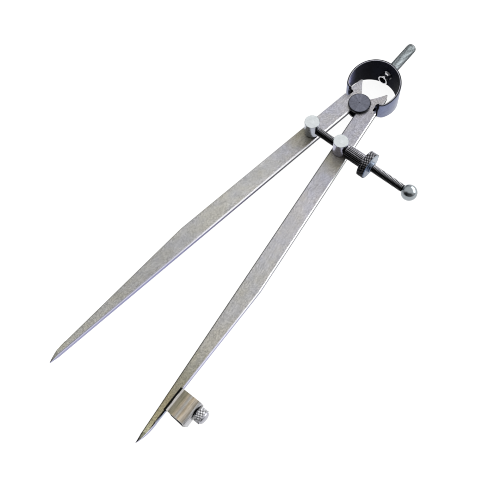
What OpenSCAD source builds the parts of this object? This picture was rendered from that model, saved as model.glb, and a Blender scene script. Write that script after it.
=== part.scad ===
// Spring-bow drawing compass with a knurled handle, a threaded spindle with a
// quick-grip adjusting nut, and a pencil clamp on its right leg.
// Millimetres. The compass lies flat: Z is square to the legs, Y runs along the
// centreline from the points to the handle, and X points to the spindle's ball.
// The origin is on the pivot's axis, at the back face of the pivot roller.

/* [Opening] */
// Angle of each leg from the centreline, as stored
half_angle = 7.9; // [0.5:0.1:16]

/* [Legs] */
// Length from the pivot's axis to the point
leg_length = 200; // [150:1:260]
// Width above the taper
leg_width = 9.1; // [8.6:0.1:11]
// Thickness of the flat steel
leg_thickness = 3.5; // [2.6:0.1:5]
// Distance of the inner edge from the pivot's axis, at the head
edge_offset = 0.95; // [0.8:0.05:1.5]
// Distance of the point from the leg's own centreline through the pivot
point_offset = 0.3; // [0.2:0.05:0.6]
// Length of the leg's tapered part, up from the point
taper_length = 87.5; // [70:0.5:120]
// Width where the ground point starts
foot_width = 2.9; // [2.2:0.1:3.6]
// Length of the ground point
point_length = 12; // [8:0.5:16]
// Length of the flats ground on both faces at the point
flat_length = 6; // [3:0.5:10]
// Thickness left at the very point
point_thickness = 0.35; // [0.2:0.05:0.8]
// Bevel along the long edges
leg_bevel = 0.3; // [0.1:0.05:0.5]

/* [Leg heads] */
// Height of the horn's tip above the pivot
horn_height = 12.1; // [11:0.1:13]
// Angle of the horn's inner flank from the leg, which gives the largest opening
horn_flank = 31; // [29:0.5:34]
// Distance of the horn's inner flank end from the pivot
horn_root = 5.9; // [5.2:0.1:6.6]
// Height of the spring notch
notch_height = 4.1; // [3.6:0.1:4.6]
// Depth of the spring notch
notch_depth = 2.4; // [2:0.1:2.8]
// Height of the notch's lower side above the pivot
notch_base = -0.3; // [-0.6:0.1:0]
// Radius of the notch's inner corners
notch_corner = 0.8; // [0.4:0.1:1.2]

/* [Pivot roller] */
// Radius of the barrel between the legs
barrel_radius = 3.2; // [2.6:0.1:3.6]
// Radius of the two discs
disc_radius = 5.8; // [5:0.1:6.4]
// Thickness of each disc
disc_thickness = 1.4; // [1:0.1:2]
// Bevel on the discs' outer edges
disc_bevel = 0.25; // [0.1:0.05:0.4]
// Radial clearance of the barrel in the legs' seats
seat_clearance = 0.05; // [0.02:0.01:0.09]
// Clearance between a disc and a leg
face_clearance = 0.06; // [0.03:0.01:0.1]

/* [Bow spring] */
// Outer radius of the bow
bow_radius = 13.9; // [13.6:0.1:15]
// Thickness of the spring strip
bow_thickness = 1.1; // [0.8:0.1:1.3]
// Height of the bow's centre above the pivot
bow_centre = 12; // [11.5:0.1:12.5]
// Width of the strip at the handle
bow_top_width = 17.5; // [14:0.2:20]
// Width of the strip at its hooked ends
bow_end_width = 9.6; // [8:0.2:12]
// Inner radius of the bend that turns each end inwards
bend_radius = 2.5; // [2:0.1:3]
// Inner radius of the hooked lip
lip_radius = 0.4; // [0.3:0.05:0.5]
// Height of the strip above the notch's middle, where it enters
lip_rise = 1; // [0.7:0.1:1.1]
// Length of the lip below its bend
lip_drop = 0.7; // [0.3:0.1:1]
// Clearance of the lip from the notch's inner wall
lip_clearance = 0.3; // [0.2:0.05:0.4]

/* [Handle] */
// Radius of the knurled rod
handle_radius = 2.65; // [2.2:0.05:3.2]
// Length of the rod outside the bow
handle_length = 21.6; // [16:0.2:32]
// Radius of the rounding at its end
handle_round = 1.5; // [0.5:0.1:2.4]
// Radius of its threaded shank
shank_radius = 1.5; // [1.2:0.1:1.8]
// Radial clearance of the shank in the bow's hole
shank_clearance = 0.1; // [0.05:0.05:0.3]
// Width across the flats of the nut inside the bow
handle_nut_flats = 5.2; // [4.8:0.1:6.5]
// Height of that nut
handle_nut_height = 4; // [2.4:0.1:5]
// Depth at which the shank ends inside the nut
shank_recess = 0.8; // [0.3:0.1:1.2]

/* [Posts] */
// Distance of the posts from the pivot, measured along the leg
post_distance = 28.9; // [24:0.1:34]
// Distance of a post's axis from the leg's inner edge
post_inset = 4.25; // [4:0.05:4.8]
// Radius of the post
post_radius = 3.8; // [3.3:0.05:3.9]
// Height of the post above the leg
post_height = 9.5; // [8.5:0.1:12]
// Bevel round the post's top
post_bevel = 0.5; // [0.2:0.1:0.8]
// Radius of the neck that swivels in the leg
neck_radius = 2.1; // [1.6:0.1:2.4]
// Radial clearance of the neck in the leg
neck_clearance = 0.05; // [0.02:0.01:0.09]
// Radius of the washer behind the leg
washer_radius = 3.5; // [3:0.1:4]
// Thickness of the washer
washer_thickness = 0.8; // [0.5:0.1:1.2]
// Height of the riveted end over the washer
rivet_height = 0.7; // [0.4:0.1:1]

/* [Spindle] */
// Outer radius of the spindle's thread
spindle_radius = 1.8; // [1.5:0.05:2.2]
// Height of the spindle above the legs' face
spindle_height = 4.3; // [4:0.1:5]
// Distance of the ball's centre from the right post's axis
spindle_reach = 41.3; // [36:0.1:60]
// Radius of the ball
ball_radius = 4; // [3.4:0.1:5]
// Radial clearance of the spindle where it slides or turns
spindle_clearance = 0.06; // [0.02:0.01:0.1]
// Radial clearance of the spindle in the right post, which has to tilt a little
slide_clearance = 0.25; // [0.15:0.05:0.35]
// Running gap at the ends of the sleeve and the nut
end_gap = 0.1; // [0.05:0.05:0.3]

/* [Adjusting nut] */
// Radius of the spacer sleeve
sleeve_radius = 3.45; // [3:0.05:3.6]
// Length of the spacer sleeve
sleeve_length = 10.4; // [8:0.1:16]
// Radius of the knurled flange
flange_radius = 6.8; // [5.5:0.1:8]
// Thickness of the knurled flange
flange_thickness = 4.4; // [3:0.1:5.5]
// Depth of the knurls on the flange and on the clamp screw
knurl_depth = 0.25; // [0.15:0.05:0.35]
// Width of the plain bevels beside the knurls
knurl_bevel = 0.4; // [0.2:0.1:0.7]
// Number of knurls round the flange
flange_knurls = 44; // [32:1:48]
// Radius of the collar on the nut's outer face
collar_radius = 2.8; // [2.5:0.1:4.5]
// Length of the collar
collar_length = 0.9; // [0.5:0.1:3]

/* [Pencil clamp] */
// Distance of the clamp's middle from the point, measured up to its seat
clamp_setback = 24.7; // [20:0.1:60]
// Length of the band along the leg
band_length = 11.8; // [9:0.1:14]
// Width of the band's loop, square to the leg's edge
band_width = 11.6; // [11:0.1:14]
// Depth of the band's loop, square to the leg's face
band_depth = 9.2; // [8.6:0.1:10]
// Thickness of the band's sheet
band_sheet = 0.9; // [0.7:0.05:1.1]
// Outer radius of the band's bends
band_bend = 2.2; // [1.8:0.1:2.8]
// Radius of the rivet that holds the band to the leg
clamp_rivet_radius = 1; // [0.8:0.05:1.2]
// Height of the rivet's round head
rivet_head_height = 0.7; // [0.5:0.1:1]
// Distance of the clamp screw above the band's middle, along the leg
screw_offset = 1.7; // [0:0.1:2.2]
// Radius of the clamp screw's thread
screw_radius = 1.5; // [1.2:0.05:1.7]
// Radius of the clamp screw's head
screw_head_radius = 3.55; // [3:0.05:4]
// Length of the clamp screw's head
screw_head_length = 4.5; // [3:0.1:6]
// Gap between the head and the band, as stored
screw_gap = 0.7; // [0.4:0.1:1.2]
// Length of the clamp screw that stands inside the loop, as stored
screw_reach = 1; // [0.4:0.1:1.6]
// Number of knurls round the clamp screw's head
screw_knurls = 26; // [20:1:32]

/* [Hidden] */
$fn = 96;
// Overlap that keeps cuts and joins clean
eps = 0.01;

// Heights: the legs' middle plane, and their front face
half_thickness = leg_thickness / 2;
mid_z = half_thickness + face_clearance + disc_thickness;
face_z = mid_z + half_thickness;
spindle_z = face_z + spindle_height;

// Leg outline, in the leg's own frame: X outwards, Y towards the head
outer_x = edge_offset + leg_width;
taper_start = leg_length - taper_length;
clamp_distance = leg_length - clamp_setback;
taper_top = [outer_x, -taper_start];
taper_foot = [point_offset + foot_width, point_length - leg_length];
leg_point = [point_offset, -leg_length];
function inner_edge(d) = edge_offset + (point_offset - edge_offset) * d / leg_length;
function on_taper(d) =
    taper_top + (taper_foot - taper_top) * (d - taper_start) / (leg_length - point_length - taper_start);
taper_angle = atan2(taper_top[0] - taper_foot[0], taper_top[1] - taper_foot[1]);

// Notch and horn on the head
notch_wall = outer_x - notch_depth;
notch_top = notch_base + notch_height;
notch_mid = [outer_x - notch_depth / 2, notch_base + notch_height / 2];
horn_start = horn_root * [sin(horn_flank), cos(horn_flank)];
horn_tip = [outer_x - 0.6, horn_height];
horn_hollow = (horn_start + horn_tip) / 2 + [0.15, -0.5];
horn_back = [outer_x + 0.3, notch_top + 3];

// Posts, in the leg's frame and in the part's own
post_seat = [inner_edge(post_distance) + post_inset, -post_distance];
function turned(p, a) = [p[0] * cos(a) - p[1] * sin(a), p[0] * sin(a) + p[1] * cos(a)];
post_at = turned(post_seat, half_angle);

// Bow spring: one arc, a bend inwards and a hooked lip in each leg's notch
bow_mid = bow_radius - bow_thickness / 2;
bend_mid = bend_radius + bow_thickness / 2;
lip_mid = lip_radius + bow_thickness / 2;
strip_y = turned(notch_mid, half_angle)[1] + lip_rise;
lip_x = turned([notch_wall, notch_base], half_angle)[0] + lip_clearance + bow_thickness / 2;
bow_turn = acos((strip_y + bend_mid - bow_centre) / (bow_mid - bend_mid));
bend_at = [0, bow_centre] + (bow_mid - bend_mid) * [sin(bow_turn), cos(bow_turn)];
lip_at = [lip_x + lip_mid, strip_y - lip_mid];
lip_low = lip_at[1] - lip_drop;
bow_top = bow_centre + bow_radius;

// Handle nut: its corners bear on the inside of the bow
nut_corner = handle_nut_flats / 2 / cos(30);
nut_seat = bow_centre + sqrt(pow(bow_radius - bow_thickness, 2) - pow(nut_corner, 2));

// Stations along the spindle
spindle_start = -post_at[0] - post_radius + 1.2;
ball_x = post_at[0] + spindle_reach;
ball_flat = sqrt(pow(ball_radius, 2) - pow(spindle_radius + 0.2, 2));
sleeve_x = post_at[0] + post_radius + end_gap;
nut_x = sleeve_x + sleeve_length + end_gap;
ball_neck = 0.7 * spindle_radius;
ball_socket = 0.8 * ball_radius;

// ---------- shared shapes ----------

// Points of a smooth curve from a to c, drawn towards b
function curve(a, b, c, steps = 8) =
    [for (i = [0:steps]) let (t = i / steps) (1 - t) * (1 - t) * a + 2 * t * (1 - t) * b + t * t * c];

// Points along an arc, at angles measured from +Y towards +X
function arc(centre, radius, from, to, steps) =
    [for (i = [0:steps]) let (a = from + (to - from) * i / steps) centre + radius * [sin(a), cos(a)]];

// A disc of knurls with plain bevelled rims, standing on Z = 0
module knurled_disc(radius, height, knurls) {
    groove = radius - knurl_depth;
    core = groove - 0.05;
    rotate_extrude()
        polygon([[0, 0], [core - knurl_bevel, 0], [core, knurl_bevel],
                 [core, height - knurl_bevel], [core - knurl_bevel, height], [0, height]]);
    translate([0, 0, knurl_bevel]) linear_extrude(height = height - 2 * knurl_bevel)
        polygon([for (i = [0:2 * knurls - 1]) let (a = 180 * i / knurls, r = i % 2 == 0 ? radius : groove)
                 r * [cos(a), sin(a)]]);
}

// Turns a shape that stands on Z so that it lies along the spindle
module along_spindle(x) {
    translate([x, post_at[1], spindle_z]) rotate([0, 90, 0]) children();
}

// Places the right leg's frame, or its mirror image for the left leg
module at_leg(side) {
    mirror([side < 0 ? 1 : 0, 0, 0]) translate([0, 0, mid_z]) rotate([0, 0, half_angle]) children();
}

// Places the clamp's frame: X square to the leg's tapered edge, Y along it
module at_clamp() {
    at_leg(1) translate(on_taper(clamp_distance)) rotate([0, 0, -taper_angle]) children();
}

// ---------- legs ----------

module leg_outline() {
    difference() {
        polygon(concat(
            [leg_point, [edge_offset, 0]],
            curve(horn_start, horn_hollow, horn_tip),
            curve(horn_tip + [0.5, -0.1], [outer_x + 0.5, horn_height - 1], horn_back, 4),
            [[outer_x + 0.3, notch_top], [outer_x, notch_top], [outer_x, notch_base], taper_top],
            curve(taper_foot, taper_foot + [-0.2 * foot_width, -0.6 * point_length], leg_point)
        ));
        circle(r = barrel_radius + seat_clearance);
        notch();
    }
}

// The slot for the bow spring's hooked end, with round inner corners
module notch() {
    translate([notch_wall + notch_corner, notch_base])
        square([notch_depth + 1, notch_height]);
    translate([notch_wall, notch_base + notch_corner])
        square([notch_depth, notch_height - 2 * notch_corner]);
    for (y = [notch_base + notch_corner, notch_top - notch_corner])
        translate([notch_wall + notch_corner, y]) circle(r = notch_corner);
}

// Takes the corner off one long edge on both faces
module edge_bevel(from, to) {
    run = to - from;
    side = leg_bevel * sqrt(2);
    for (z = [-half_thickness, half_thickness])
        translate([from[0], from[1], z]) rotate([0, 0, atan2(run[1], run[0])]) rotate([45, 0, 0])
            translate([norm(run) / 2, 0, 0]) cube([norm(run) + 0.4, side, side], center = true);
}

// Grinds both faces down to the point
module point_flats() {
    rise = half_thickness - point_thickness / 2;
    for (side = [-1, 1])
        scale([1, 1, side]) translate([-leg_width, -leg_length, 0]) rotate([90, 0, 90])
            linear_extrude(height = 3 * leg_width)
                polygon([[-1, point_thickness / 2 - rise / flat_length], [flat_length, half_thickness],
                         [flat_length, half_thickness + 1], [-1, half_thickness + 1]]);
}

module leg() {
    difference() {
        translate([0, 0, -half_thickness]) linear_extrude(height = leg_thickness) leg_outline();
        edge_bevel([outer_x, notch_base], taper_top);
        edge_bevel(taper_top, taper_foot);
        edge_bevel([edge_offset, 0], leg_point);
        point_flats();
        translate([post_seat[0], post_seat[1], -leg_thickness])
            cylinder(r = neck_radius + neck_clearance, h = 2 * leg_thickness);
    }
}

module left_leg() {
    color("#a9a9ad") at_leg(-1) leg();
}

module right_leg() {
    color("#a9a9ad") difference() {
        at_leg(1) leg();
        at_clamp() rotate([0, -90, 0]) translate([0, 0, -eps])
            cylinder(r = clamp_rivet_radius, h = 2 * foot_width + leg_width);
    }
}

// ---------- head ----------

// The right half of the bow's outline: outer side down to the lip, and inner side back to the top
bow_side = concat(
    arc([0, bow_centre], bow_radius, 0, bow_turn, 32),
    arc(bend_at, bend_radius + bow_thickness, bow_turn, 180, 10),
    arc(lip_at, lip_radius, 0, -90, 8),
    [[lip_x + bow_thickness / 2, lip_low], [lip_x - bow_thickness / 2, lip_low]],
    arc(lip_at, lip_radius + bow_thickness, -90, 0, 8),
    arc(bend_at, bend_radius, 180, bow_turn, 10),
    arc([0, bow_centre], bow_radius - bow_thickness, bow_turn, 0, 32)
);

module bow_spring() {
    color("#3a3d47") difference() {
        intersection() {
            translate([0, 0, mid_z - bow_top_width]) linear_extrude(height = 2 * bow_top_width)
                polygon(concat(bow_side,
                    [for (i = [len(bow_side) - 2:-1:1]) [-bow_side[i][0], bow_side[i][1]]]));
            translate([-2 * bow_radius, 0, mid_z]) rotate([90, 0, 90])
                linear_extrude(height = 4 * bow_radius)
                    polygon([[lip_low - 1, -bow_end_width / 2], [bow_top, -bow_top_width / 2],
                             [bow_top + 1, -bow_top_width / 2], [bow_top + 1, bow_top_width / 2],
                             [bow_top, bow_top_width / 2], [lip_low - 1, bow_end_width / 2]]);
        }
        translate([0, bow_centre, mid_z]) rotate([-90, 0, 0])
            cylinder(r = shank_radius + shank_clearance, h = 2 * bow_radius);
    }
}

// A turned spool: the barrel sits in both legs' seats, and the discs hold it
module pivot_roller() {
    top = 2 * mid_z;
    color("#565a64") difference() {
        rotate_extrude()
            polygon([[0, 0], [disc_radius - disc_bevel, 0], [disc_radius, disc_bevel],
                     [disc_radius, disc_thickness], [barrel_radius, disc_thickness],
                     [barrel_radius, top - disc_thickness], [disc_radius, top - disc_thickness],
                     [disc_radius, top - disc_bevel], [disc_radius - disc_bevel, top], [0, top]]);
        translate([0, 0, top - 0.2]) cylinder(r = 0.4, h = 1);
    }
}

// Knurled rod with a domed end and a thinner threaded shank through the bow
module handle() {
    shank_end = nut_seat - handle_nut_height + shank_recess - end_gap;
    color("#a1a9ac") translate([0, bow_top, mid_z]) rotate([-90, 0, 0]) {
        rotate_extrude() {
            square([handle_radius, handle_length - handle_round]);
            square([handle_radius - handle_round, handle_length]);
            translate([handle_radius - handle_round, handle_length - handle_round]) intersection() {
                circle(r = handle_round);
                square(handle_round);
            }
        }
        translate([0, 0, shank_end - bow_top]) cylinder(r = shank_radius, h = bow_top - shank_end + eps);
    }
}

module handle_nut() {
    color("#c8c8cc") translate([0, nut_seat - end_gap, mid_z]) rotate([90, 30, 0]) difference() {
        cylinder(r = nut_corner, h = handle_nut_height, $fn = 6);
        translate([0, 0, -eps]) cylinder(r = shank_radius + face_clearance, h = handle_nut_height + 1);
    }
}

// ---------- posts ----------

// A turned post: its neck passes through the leg and is riveted over a washer
module post() {
    shoulder = half_thickness + face_clearance;
    rivet_z = -shoulder - washer_thickness - end_gap;
    rivet_radius = neck_radius + 0.7;
    top = half_thickness + post_height;
    translate([0, 0, mid_z]) rotate_extrude()
        polygon(concat(
            [[0, top], [0, rivet_z - rivet_height]],
            curve([0.5 * rivet_radius, rivet_z - rivet_height], [rivet_radius, rivet_z - rivet_height],
                  [rivet_radius, rivet_z], 6),
            [[neck_radius, rivet_z], [neck_radius, shoulder], [post_radius, shoulder],
             [post_radius, top - post_bevel], [post_radius - post_bevel, top]]
        ));
}

module post_washer() {
    translate([0, 0, mid_z - half_thickness - face_clearance - washer_thickness]) difference() {
        cylinder(r = washer_radius, h = washer_thickness);
        translate([0, 0, -1]) cylinder(r = neck_radius + neck_clearance, h = washer_thickness + 2);
    }
}

// The left post holds the spindle's end in a blind hole
module left_post() {
    color("#d2dadb") difference() {
        translate([-post_at[0], post_at[1], 0]) post();
        along_spindle(spindle_start) cylinder(r = spindle_radius + spindle_clearance, h = 3 * post_radius);
    }
}

// The spindle slides through the right post
module right_post() {
    color("#d2dadb") difference() {
        translate([post_at[0], post_at[1], 0]) post();
        along_spindle(post_at[0] - 2 * post_radius)
            cylinder(r = spindle_radius + slide_clearance, h = 4 * post_radius);
    }
}

module left_post_washer() {
    color("#b9bdc0") translate([-post_at[0], post_at[1], 0]) post_washer();
}

module right_post_washer() {
    color("#b9bdc0") translate([post_at[0], post_at[1], 0]) post_washer();
}

// ---------- spindle and nut ----------

// Threaded rod, with a thinner neck inside the ball
module spindle() {
    shoulder = ball_x - ball_flat;
    color("#25262b") {
        along_spindle(spindle_start) cylinder(r = spindle_radius, h = shoulder - spindle_start);
        along_spindle(shoulder - eps) cylinder(r = ball_neck, h = ball_flat - ball_radius + ball_socket);
    }
}

module spindle_ball() {
    color("#8f9497") difference() {
        along_spindle(ball_x) sphere(r = ball_radius);
        along_spindle(ball_x - 2 * ball_radius) cylinder(r = ball_radius, h = 2 * ball_radius - ball_flat);
        along_spindle(ball_x - 2 * ball_radius)
            cylinder(r = ball_neck + face_clearance, h = ball_radius + ball_socket + end_gap);
    }
}

module spacer_sleeve() {
    color("#36393f") difference() {
        along_spindle(sleeve_x) cylinder(r = sleeve_radius, h = sleeve_length);
        along_spindle(sleeve_x - 1) cylinder(r = spindle_radius + spindle_clearance, h = sleeve_length + 2);
    }
}

module adjusting_nut() {
    color("#5b626d") difference() {
        union() {
            along_spindle(nut_x) knurled_disc(flange_radius, flange_thickness, flange_knurls);
            along_spindle(nut_x + flange_thickness - eps)
                cylinder(r = collar_radius, h = collar_length + eps);
        }
        along_spindle(nut_x - 1)
            cylinder(r = spindle_radius + spindle_clearance, h = flange_thickness + collar_length + 2);
    }
}

// ---------- pencil clamp ----------

module rounded_rectangle(x, y, width, height, radius) {
    translate([x + radius, y]) square([width - 2 * radius, height]);
    translate([x, y + radius]) square([width, height - 2 * radius]);
    for (px = [x + radius, x + width - radius], py = [y + radius, y + height - radius])
        translate([px, py]) circle(r = radius);
}

// A sheet band bent into a loop, with its ends lapped under the screw
module pencil_clamp() {
    lap = band_depth - 2 * band_bend;
    color("#afaaa6") difference() {
        at_clamp() rotate([90, 0, 0]) linear_extrude(height = band_length, center = true) {
            difference() {
                rounded_rectangle(0, -band_depth / 2, band_width, band_depth, band_bend);
                rounded_rectangle(band_sheet, band_sheet - band_depth / 2, band_width - 2 * band_sheet,
                                  band_depth - 2 * band_sheet, band_bend - band_sheet);
            }
            translate([band_width - 2 * band_sheet, -lap / 2]) square([band_sheet + eps, lap]);
        }
        at_clamp() translate([band_width / 2, screw_offset, 0]) rotate([0, 90, 0])
            cylinder(r = screw_radius + face_clearance, h = band_width);
        at_clamp() translate([-1, 0, 0]) rotate([0, 90, 0])
            cylinder(r = clamp_rivet_radius, h = 1 + 2 * band_sheet);
    }
}

// A round-headed rivet through the band and the leg's edge
module clamp_rivet() {
    head = 2 * clamp_rivet_radius;
    dome = (pow(head, 2) + pow(rivet_head_height, 2)) / (2 * rivet_head_height);
    grip = on_taper(clamp_distance)[0] - inner_edge(clamp_distance);
    color("#9a9a9e") at_clamp() rotate([0, 90, 0]) {
        translate([0, 0, -0.9 * grip])
            cylinder(r = clamp_rivet_radius, h = 0.9 * grip + band_sheet + rivet_head_height / 2);
        translate([0, 0, band_sheet]) intersection() {
            translate([0, 0, rivet_head_height - dome]) sphere(r = dome);
            cylinder(r = head, h = head);
        }
    }
}

// Thumb screw with a knurled head and a smooth bevelled end
module clamp_screw() {
    grip = 0.75 * screw_head_length;
    tip = band_width - 2 * band_sheet - screw_reach;
    head = band_width + screw_gap;
    color("#b4b5ba") at_clamp() translate([0, screw_offset, 0]) rotate([0, 90, 0]) {
        translate([0, 0, tip]) cylinder(r = screw_radius, h = head - tip + eps);
        translate([0, 0, head]) knurled_disc(screw_head_radius, grip, screw_knurls);
        translate([0, 0, head + grip - eps]) rotate_extrude()
            polygon(concat([[0, 0]],
                curve([screw_head_radius - knurl_depth - knurl_bevel, 0],
                      [screw_head_radius - knurl_depth - knurl_bevel, screw_head_length - grip],
                      [0.6 * screw_head_radius, screw_head_length - grip], 5),
                [[0, screw_head_length - grip]]));
    }
}

left_leg();
right_leg();
bow_spring();
pivot_roller();
handle();
handle_nut();
left_post();
right_post();
left_post_washer();
right_post_washer();
spindle();
spindle_ball();
spacer_sleeve();
adjusting_nut();
pencil_clamp();
clamp_rivet();
clamp_screw();
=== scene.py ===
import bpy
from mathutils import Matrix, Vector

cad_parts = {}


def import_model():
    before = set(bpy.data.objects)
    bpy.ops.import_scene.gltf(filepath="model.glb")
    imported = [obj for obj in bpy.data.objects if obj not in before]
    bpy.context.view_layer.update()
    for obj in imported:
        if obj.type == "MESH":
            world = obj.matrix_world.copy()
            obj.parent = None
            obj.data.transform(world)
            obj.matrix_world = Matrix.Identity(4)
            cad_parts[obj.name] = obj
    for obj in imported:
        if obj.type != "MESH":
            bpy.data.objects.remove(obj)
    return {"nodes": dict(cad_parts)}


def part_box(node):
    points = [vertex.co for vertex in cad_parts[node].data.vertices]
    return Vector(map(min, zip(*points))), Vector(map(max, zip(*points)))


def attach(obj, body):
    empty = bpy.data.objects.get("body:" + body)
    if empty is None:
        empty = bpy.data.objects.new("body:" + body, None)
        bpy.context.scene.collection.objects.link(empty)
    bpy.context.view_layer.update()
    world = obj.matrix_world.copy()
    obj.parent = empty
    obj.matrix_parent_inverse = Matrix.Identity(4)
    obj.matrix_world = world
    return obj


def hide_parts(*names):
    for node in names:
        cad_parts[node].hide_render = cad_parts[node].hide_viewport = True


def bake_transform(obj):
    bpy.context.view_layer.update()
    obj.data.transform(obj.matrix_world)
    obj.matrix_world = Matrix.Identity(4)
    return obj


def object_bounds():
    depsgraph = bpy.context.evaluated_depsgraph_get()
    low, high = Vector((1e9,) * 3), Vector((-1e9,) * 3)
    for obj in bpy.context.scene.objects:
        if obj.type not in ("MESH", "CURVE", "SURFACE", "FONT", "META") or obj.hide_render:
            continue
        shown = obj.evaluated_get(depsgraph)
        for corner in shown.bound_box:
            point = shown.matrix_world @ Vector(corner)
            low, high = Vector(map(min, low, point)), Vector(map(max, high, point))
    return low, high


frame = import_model()
cad_box = [list(c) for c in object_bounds()]

import math
import bmesh
import bpy
from mathutils import Matrix, Vector

NODES = frame["nodes"]
MM = 0.001

# ---------- places and sizes of the solids, in millimetres and degrees ----------

def corners(node):
    """A node's lowest and highest corner at rest."""
    return [[c / MM for c in corner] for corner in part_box(node)]


def middle(node):
    return [(low + high) / 2 for low, high in zip(*corners(node))]


# middle of the legs' thickness
MID_Z = middle("pivot_roller")[2]
LEG_LENGTH = 200
HALF_ANGLE = 7.9
# a leg's long edges, measured square to it from the pivot, and how far each closes in by the point
EDGE_IN, EDGE_LEAN = 0.95, 0.65
EDGE_OUT, TAPER = 10.05, 6.85
# where the outer edge tapers, as shares of the leg
TAPER_START, TAPER_END = 0.5625, 0.94
TAPER_SLOPE = TAPER / (TAPER_END - TAPER_START) / LEG_LENGTH

POST_X, POST_Y = middle("right_post")[:2]
POST_RADIUS = 3.8
SPINDLE_Z = middle("spindle")[2]
SPINDLE_AXIS = (0, POST_Y, SPINDLE_Z)
# crests of the thread, which the solid leaves out: it is a plain rod of the mean radius, 1.8
THREAD_RADIUS = 2.0
BORE_RADIUS = THREAD_RADIUS + 0.03
SLEEVE_X, SLEEVE_END = (corner[0] for corner in corners("spacer_sleeve"))
SLEEVE_LENGTH = SLEEVE_END - SLEEVE_X
NUT_X = corners("adjusting_nut")[0][0]
BALL_RADIUS = 4.0
BALL_X = corners("spindle_ball")[1][0] - BALL_RADIUS

# the clamp's middle sits on the taper, this far up from the point
CLAMP_SETBACK = 24.7
CLAMP_ANGLE = HALF_ANGLE - math.degrees(math.atan(TAPER_SLOPE))
CLAMP_WIDTH, CLAMP_DEPTH, CLAMP_LENGTH = 11.6, 9.2, 11.8
CLAMP_SHEET, CLAMP_BEND = 0.9, 2.2
# the screw sits a little above the clamp's middle, along the leg
SCREW_OFFSET = 1.7

FLOOR_Z = cad_box[0][2] / MM - 0.08


def share(value, start, end):
    """How far a value lies from start to end, kept between 0 and 1."""
    return min(1, max(0, (value - start) / (end - start)))


def turned_point(across, along, angle, origin=(0, 0)):
    """Point at mid height, from its distances along X and Y turned by an angle."""
    turn = math.radians(angle)
    return (origin[0] + across * math.cos(turn) - along * math.sin(turn),
            origin[1] + across * math.sin(turn) + along * math.cos(turn), MID_Z)


def clamp_origin():
    down = LEG_LENGTH - CLAMP_SETBACK
    edge = EDGE_OUT - TAPER_SLOPE * (down - TAPER_START * LEG_LENGTH)
    return turned_point(edge, -down, HALF_ANGLE)


CLAMP_ORIGIN = clamp_origin()
SCREW_ORIGIN = turned_point(0, SCREW_OFFSET, CLAMP_ANGLE, CLAMP_ORIGIN)


# ---------- shader helpers ----------

def srgb(red, green, blue):
    """Linear colour from 8-bit sRGB."""
    return tuple(c / 255 / 12.92 if c / 255 <= 0.04045 else ((c / 255 + 0.055) / 1.055) ** 2.4
                 for c in (red, green, blue))


class Shader:
    """A node tree, with short calls for the nodes used here."""

    def __init__(self, tree):
        self.nodes = tree.nodes
        self.links = tree.links

    def node(self, kind, inputs=None, **settings):
        new = self.nodes.new(kind)
        for key, value in settings.items():
            setattr(new, key, value)
        for key, value in (inputs or {}).items():
            self.put(new.inputs[key], value)
        return new

    def put(self, socket, value):
        if isinstance(value, bpy.types.NodeSocket):
            self.links.new(value, socket)
        elif isinstance(value, (tuple, list)) and len(value) == 3 and socket.type == "RGBA":
            socket.default_value = (*value, 1)
        else:
            socket.default_value = value

    def math(self, operation, a, b=0.0):
        return self.node("ShaderNodeMath", {0: a, 1: b}, operation=operation).outputs[0]

    def vector(self, operation, a, b):
        return self.node("ShaderNodeVectorMath", {0: a, 1: b}, operation=operation).outputs[0]

    def scaled(self, colour, shade):
        inputs = {0: colour, "Scale": shade}
        return self.node("ShaderNodeVectorMath", inputs, operation="SCALE").outputs[0]

    def parts(self, vector):
        return self.node("ShaderNodeSeparateXYZ", {0: vector}).outputs

    def remap(self, value, from_low, from_high, to_low, to_high):
        """Moves a value from one range to another, and stops at its ends."""
        return self.node("ShaderNodeMapRange", {
            "Value": value, "From Min": from_low, "From Max": from_high,
            "To Min": to_low, "To Max": to_high}).outputs["Result"]

    def step(self, value, low, high):
        """0 below low, 1 above high."""
        return self.remap(value, low, high, 0, 1)

    def mix(self, factor, a, b):
        new = self.node("ShaderNodeMix", data_type="RGBA")
        self.put(new.inputs[0], factor)
        self.put(new.inputs[6], a)
        self.put(new.inputs[7], b)
        return new.outputs[2]

    def ramp(self, factor, stops):
        """Colours by position; a single number is a grey."""
        new = self.node("ShaderNodeValToRGB", {"Fac": factor})
        elements = new.color_ramp.elements
        while len(elements) < len(stops):
            elements.new(0.5)
        for element, (position, colour) in zip(elements, stops):
            element.position = position
            element.color = (*colour, 1) if isinstance(colour, tuple) else (colour, colour, colour, 1)
        return new.outputs["Color"]


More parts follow.
